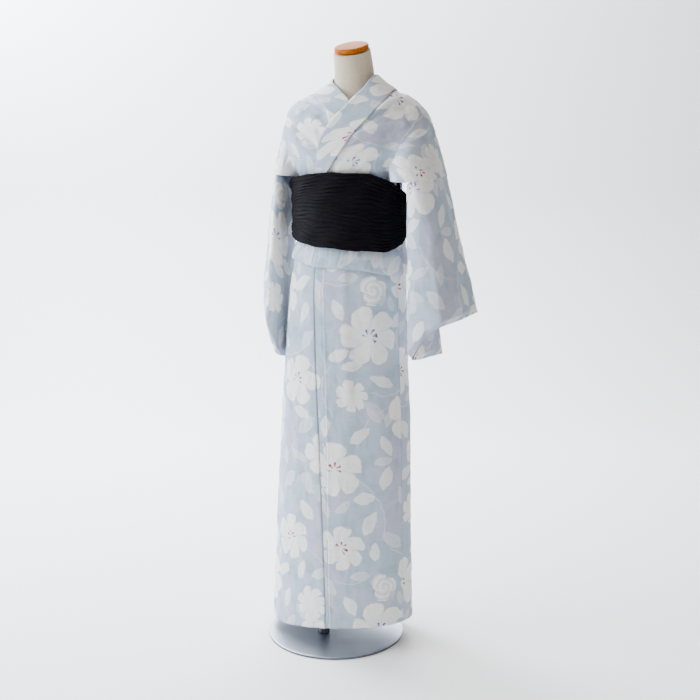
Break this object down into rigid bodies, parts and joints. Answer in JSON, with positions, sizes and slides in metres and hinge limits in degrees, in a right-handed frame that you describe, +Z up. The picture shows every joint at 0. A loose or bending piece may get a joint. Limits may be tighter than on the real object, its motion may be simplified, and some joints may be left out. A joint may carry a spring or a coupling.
{
  "type": "cotton yukata robe on a limbless dress form",
  "caption": "Unlined cotton yukata with a figured floral print, worn with a gathered black sash on a linen-covered dress form with a wooden neck cap, steel pole and round base",
  "frame": {"origin": "centre of the flat underside of the round base", "axes": "+Z up, the wearer faces -Y, the wearer's left is +X"},
  "size_m": [0.6006, 0.348, 1.4916],
  "materials": {
    "printed_cotton": "matt pale blue-grey cotton with an off-white flower print",
    "sash_cotton": "matt black crinkled cotton",
    "linen_cover": "plain-woven natural linen",
    "varnished_wood": "satin varnish",
    "polished_steel": "satin polished"
  },
  "bodies": {
    "root": {"bodice_left": "printed_cotton", "bodice_right": "printed_cotton", "sleeve_left": "printed_cotton", "sleeve_right": "printed_cotton", "collar_left": "printed_cotton", "collar_right": "printed_cotton", "skirt_back_left": "printed_cotton", "skirt_back_right": "printed_cotton", "skirt_front_left": "printed_cotton", "okumi_left": "printed_cotton", "skirt_front_right": "printed_cotton", "okumi_right": "printed_cotton", "tuck_back_left": "printed_cotton", "tuck_back_right": "printed_cotton", "tuck_front_left": "printed_cotton", "tuck_okumi_left": "printed_cotton", "tuck_front_right": "printed_cotton", "sash_band": "sash_cotton", "sash_knot": "sash_cotton", "form_torso": "linen_cover", "neck_cap": "varnished_wood", "base_disc": "polished_steel", "pole_socket": "polished_steel", "stand_pole": "polished_steel"}
  },
  "joints": []
}
